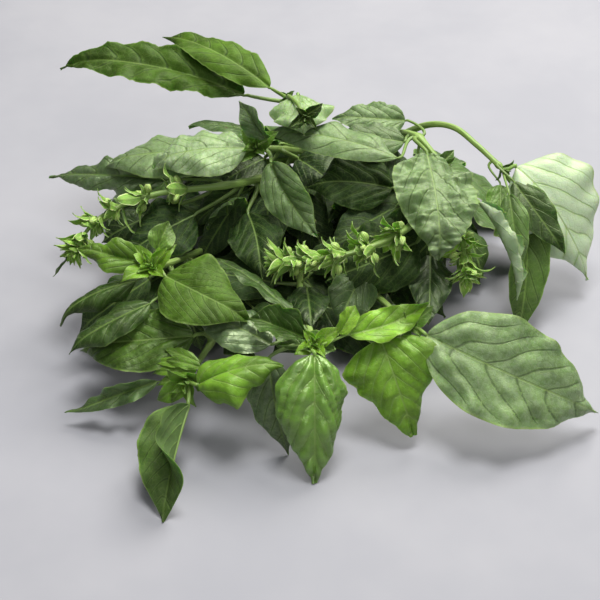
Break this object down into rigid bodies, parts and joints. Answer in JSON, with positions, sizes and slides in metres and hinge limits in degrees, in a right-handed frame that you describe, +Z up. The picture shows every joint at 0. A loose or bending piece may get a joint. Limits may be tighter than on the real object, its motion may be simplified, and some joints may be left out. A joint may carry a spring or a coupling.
{
  "type": "basil bunch",
  "caption": "Loose bunch of fresh basil lying on a surface: leafy sprigs with cut stems together at the back, leaves fanning and drooping to the front, and pale green flower spikes.",
  "frame": {"origin": "on the surface that the bunch lies on, under the middle of its bounding box", "axes": "+Z up; +Y towards the cut stem ends at the back; +X to the right as seen from the front, where the leaves droop over"},
  "size_m": [0.2582, 0.2526, 0.0945],
  "materials": {
    "leaf": "fresh leaf, satin with a soft waxy sheen",
    "pale_leaf": "fresh leaf seen with a pale waxy sheen",
    "young_leaf": "young bright yellow-green leaf, satin",
    "stem": "smooth juicy stem, satin",
    "flowering_stem": "juicy stem with soft matte green flower cups and bracts"
  },
  "bodies": {
    "root": {"stem_crown": "stem", "stem_top_right": "stem", "stem_top_left": "stem", "stem_right_back": "stem", "stem_rosette": "stem", "stem_low_left": "stem", "stem_front": "stem", "stem_right_front": "stem", "stem_back_left": "stem", "stem_back_right": "stem", "stem_flower_left": "flowering_stem", "stem_flower_centre": "flowering_stem", "stem_flower_right": "flowering_stem", "leaf_crown_long": "leaf", "leaf_crown_back": "leaf", "leaf_crown_cap": "pale_leaf", "leaf_crown_rear": "leaf", "leaf_top_pale": "pale_leaf", "leaf_top_ridge": "leaf", "leaf_crinkled": "pale_leaf", "leaf_top_rear": "leaf", "leaf_left_pale": "pale_leaf", "leaf_left_behind": "pale_leaf", "leaf_left_ridge": "leaf", "leaf_left_upright": "young_leaf", "leaf_inner_hanging": "leaf", "leaf_left_rear": "leaf", "leaf_mid_rear": "leaf", "leaf_left_curled": "leaf", "leaf_inner_left": "leaf", "leaf_inner_far_left": "leaf", "leaf_inner_right": "leaf", "leaf_inner_centre": "leaf", "leaf_rosette_right": "leaf", "leaf_rosette_left": "young_leaf", "leaf_inner_low": "leaf", "leaf_rosette_low": "leaf", "leaf_rosette_under": "leaf", "leaf_low_large": "leaf", "leaf_low_narrow": "young_leaf", "leaf_low_bright": "young_leaf", "leaf_low_hanging": "leaf", "leaf_front_glossy": "leaf", "leaf_front_dark": "leaf", "leaf_front_folded": "leaf", "leaf_front_band": "leaf", "leaf_front_bluish": "pale_leaf", "leaf_front_wavy": "young_leaf", "leaf_right_bright": "young_leaf", "leaf_right_large": "pale_leaf", "leaf_right_curled": "pale_leaf", "leaf_right_inner": "leaf", "leaf_drooping_large": "pale_leaf", "leaf_drooping_inner": "leaf", "leaf_drooping_long": "leaf", "leaf_right_side": "leaf", "leaf_back_left_side": "leaf", "leaf_back_left_rear": "leaf", "leaf_back_right_side": "leaf", "leaf_back_right_rear": "leaf"}
  },
  "joints": []
}
